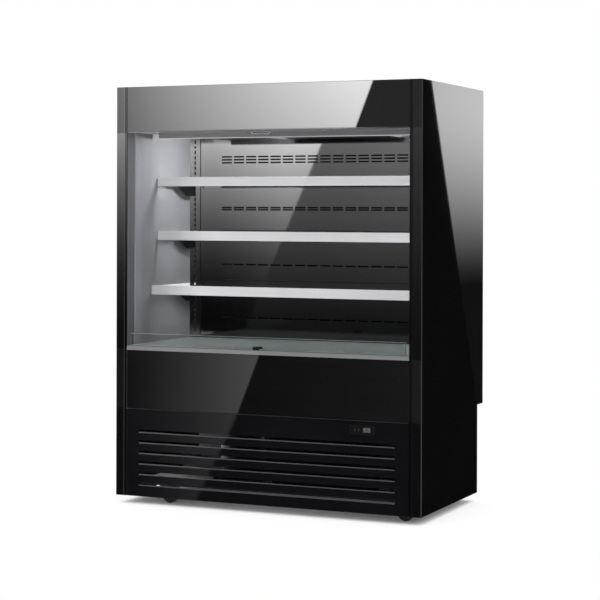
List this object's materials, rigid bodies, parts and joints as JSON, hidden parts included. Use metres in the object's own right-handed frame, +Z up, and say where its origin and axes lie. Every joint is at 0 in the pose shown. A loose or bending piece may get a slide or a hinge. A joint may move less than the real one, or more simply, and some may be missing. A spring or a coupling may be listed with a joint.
{
  "type": "refrigerated deli case",
  "caption": "Upright open-front refrigerated display case on casters, with glass shelves behind an air curtain, a pull-down night curtain and a louvred machine room.",
  "frame": {"origin": "centre of the overall outline, on the floor under the wheels", "axes": "+X to the right of somebody facing the open front, +Y to the back, +Z up"},
  "size_m": [1.29, 0.725, 1.65],
  "materials": {
    "painted_black": "satin black powder coat",
    "gloss_black": "gloss black enamel",
    "liner_steel": "satin stainless sheet",
    "trim_white": "white enamel",
    "galvanised": "galvanised sheet",
    "foam_skin": "light grey coated sheet over foam",
    "duct_black": "gloss black sheet",
    "standard_steel": "zinc-plated strip",
    "rail_silver": "satin anodised",
    "bracket_black": "black powder coat",
    "shelf_glass": "clear toughened glass, green edge",
    "riser_glass": "clear toughened glass",
    "channel_aluminium": "anodised extrusion",
    "deck_grey": "light grey powder coat",
    "inlet_grey": "grey moulded grille",
    "canopy_white": "white powder coat",
    "lamp_aluminium": "satin extrusion",
    "lamp_lens": "opal diffuser",
    "black_plastic": "fine-grain moulding",
    "key_plastic": "soft-touch keys",
    "curtain_film": "aluminised woven film",
    "bar_aluminium": "satin tube",
    "chrome_wire": "bright plated wire",
    "coil_aluminium": "bare fin stock",
    "compressor_black": "black shell",
    "copper": "drawn copper tube",
    "fan_metal": "pressed blades",
    "pan_plastic": "grey moulding",
    "caster_zinc": "bright zinc plate",
    "wheel_rubber": "grey-black tread",
    "gland_black": "moulded nylon"
  },
  "bodies": {
    "cabinet": {"end_panel_left": "painted_black", "end_panel_right": "painted_black", "side_liner_left": "liner_steel", "side_liner_right": "liner_steel", "side_trims": "trim_white", "rear_wall": "painted_black", "roof_panel": "painted_black", "insulated_tub": "foam_skin", "front_panel": "gloss_black", "canopy_fascia": "gloss_black", "canopy_ceiling": "canopy_white", "lamp_housing": "lamp_aluminium", "lamp_diffuser": "lamp_lens", "riser_channel": "channel_aluminium", "riser_glass": "riser_glass", "inlet_grille": "inlet_grey", "curtain_catch": "black_plastic", "duct_panel": "duct_black", "shelf_standards": "standard_steel", "base_pan": "galvanised", "rear_base_cover": "galvanised", "cable_gland": "gland_black", "compressor": "compressor_black", "condenser_coil": "coil_aluminium", "fan_shroud": "galvanised", "condensate_pan": "pan_plastic", "evaporator_coil": "coil_aluminium", "evaporator_fan_plate": "galvanised", "refrigerant_lines": "copper"},
    "curtain_roller": {"curtain_roller": "curtain_film"},
    "curtain": {"curtain_sheet": "curtain_film", "curtain_bar": "bar_aluminium", "pull_handle": "chrome_wire"},
    "shelf_1": {"shelf_glass_1": "shelf_glass", "shelf_brackets_1": "bracket_black", "price_rail_1": "rail_silver"},
    "shelf_2": {"shelf_glass_2": "shelf_glass", "shelf_brackets_2": "bracket_black", "price_rail_2": "rail_silver"},
    "shelf_3": {"shelf_glass_3": "shelf_glass", "shelf_brackets_3": "bracket_black", "price_rail_3": "rail_silver"},
    "deck_pan": {"deck_pan": "deck_grey"},
    "grille_panel": {"grille_panel": "painted_black", "controller": "black_plastic"},
    "key_up": {"key_up": "key_plastic"},
    "key_down": {"key_down": "key_plastic"},
    "condenser_fan": {"condenser_fan": "fan_metal"},
    "evaporator_fan_left": {"evaporator_fan_left": "fan_metal"},
    "evaporator_fan_right": {"evaporator_fan_right": "fan_metal"},
    "caster_fork_front_left": {"caster_fork_front_left": "caster_zinc"},
    "caster_wheel_front_left": {"caster_wheel_front_left": "wheel_rubber"},
    "caster_fork_front_right": {"caster_fork_front_right": "caster_zinc"},
    "caster_wheel_front_right": {"caster_wheel_front_right": "wheel_rubber"},
    "caster_fork_rear_left": {"caster_fork_rear_left": "caster_zinc"},
    "caster_wheel_rear_left": {"caster_wheel_rear_left": "wheel_rubber"},
    "caster_fork_rear_right": {"caster_fork_rear_right": "caster_zinc"},
    "caster_wheel_rear_right": {"caster_wheel_rear_right": "wheel_rubber"},
    "brake_pedal_front_left": {"brake_pedal_front_left": "caster_zinc"},
    "brake_pedal_front_right": {"brake_pedal_front_right": "caster_zinc"}
  },
  "joints": [
    {"name": "curtain_pull", "type": "slide", "parent": "cabinet", "child": "curtain", "axis": [0, 0, -1], "range_m": [0, 0.82], "stiffness_N_per_m": 10, "springref_m": -0.8, "deforming": ["curtain_sheet"]},
    {"name": "roller_spin", "type": "hinge", "parent": "cabinet", "child": "curtain_roller", "pos_m": [0, -0.2865, 1.56], "axis": [1, 0, 0], "continuous": true},
    {"name": "shelf_1_lift", "type": "slide", "parent": "cabinet", "child": "shelf_1", "axis": [0, 0, 1], "range_m": [0, 0.0055]},
    {"name": "shelf_2_lift", "type": "slide", "parent": "cabinet", "child": "shelf_2", "axis": [0, 0, 1], "range_m": [0, 0.0055]},
    {"name": "shelf_3_lift", "type": "slide", "parent": "cabinet", "child": "shelf_3", "axis": [0, 0, 1], "range_m": [0, 0.0055]},
    {"name": "deck_lift", "type": "slide", "parent": "cabinet", "child": "deck_pan", "axis": [0, 0, 1], "range_m": [0, 0.14]},
    {"name": "grille_pull", "type": "slide", "parent": "cabinet", "child": "grille_panel", "axis": [0, -1, 0], "range_m": [0, 0.12]},
    {"name": "key_up_press", "type": "slide", "parent": "grille_panel", "child": "key_up", "axis": [0, 1, 0], "range_m": [0, 0.001], "stiffness_N_per_m": 300},
    {"name": "key_down_press", "type": "slide", "parent": "grille_panel", "child": "key_down", "axis": [0, 1, 0], "range_m": [0, 0.001], "stiffness_N_per_m": 300},
    {"name": "condenser_fan_spin", "type": "hinge", "parent": "cabinet", "child": "condenser_fan", "pos_m": [0.23, -0.2485, 0.196], "axis": [0, 1, 0], "continuous": true},
    {"name": "evaporator_fan_left_spin", "type": "hinge", "parent": "cabinet", "child": "evaporator_fan_left", "pos_m": [-0.27, -0.1005, 0.515], "axis": [0, 1, 0], "continuous": true},
    {"name": "evaporator_fan_right_spin", "type": "hinge", "parent": "cabinet", "child": "evaporator_fan_right", "pos_m": [0.27, -0.1005, 0.515], "axis": [0, 1, 0], "continuous": true},
    {"name": "caster_front_left_swivel", "type": "hinge", "parent": "cabinet", "child": "caster_fork_front_left", "pos_m": [-0.473, -0.2705, 0.0717], "axis": [0, 0, 1], "continuous": true},
    {"name": "caster_front_left_roll", "type": "hinge", "parent": "caster_fork_front_left", "child": "caster_wheel_front_left", "pos_m": [-0.447, -0.2705, 0.03], "axis": [0, 1, 0], "continuous": true},
    {"name": "brake_left_press", "type": "hinge", "parent": "caster_fork_front_left", "child": "brake_pedal_front_left", "pos_m": [-0.427, -0.2705, 0.0627], "axis": [0, 1, 0], "range_deg": [0, 15]},
    {"name": "caster_front_right_swivel", "type": "hinge", "parent": "cabinet", "child": "caster_fork_front_right", "pos_m": [0.525, -0.2705, 0.0717], "axis": [0, 0, 1], "continuous": true},
    {"name": "caster_front_right_roll", "type": "hinge", "parent": "caster_fork_front_right", "child": "caster_wheel_front_right", "pos_m": [0.551, -0.2705, 0.03], "axis": [0, 1, 0], "continuous": true},
    {"name": "brake_right_press", "type": "hinge", "parent": "caster_fork_front_right", "child": "brake_pedal_front_right", "pos_m": [0.571, -0.2705, 0.0627], "axis": [0, 1, 0], "range_deg": [0, 15]},
    {"name": "caster_rear_left_swivel", "type": "hinge", "parent": "cabinet", "child": "caster_fork_rear_left", "pos_m": [-0.473, 0.2015, 0.0717], "axis": [0, 0, 1], "continuous": true},
    {"name": "caster_rear_left_roll", "type": "hinge", "parent": "caster_fork_rear_left", "child": "caster_wheel_rear_left", "pos_m": [-0.447, 0.2015, 0.03], "axis": [0, 1, 0], "continuous": true},
    {"name": "caster_rear_right_swivel", "type": "hinge", "parent": "cabinet", "child": "caster_fork_rear_right", "pos_m": [0.525, 0.2015, 0.0717], "axis": [0, 0, 1], "continuous": true},
    {"name": "caster_rear_right_roll", "type": "hinge", "parent": "caster_fork_rear_right", "child": "caster_wheel_rear_right", "pos_m": [0.551, 0.2015, 0.03], "axis": [0, 1, 0], "continuous": true}
  ],
  "couplings": [
    {"joint": "roller_spin", "follows": "curtain_pull", "rad_per_m": 41.152}
  ]
}
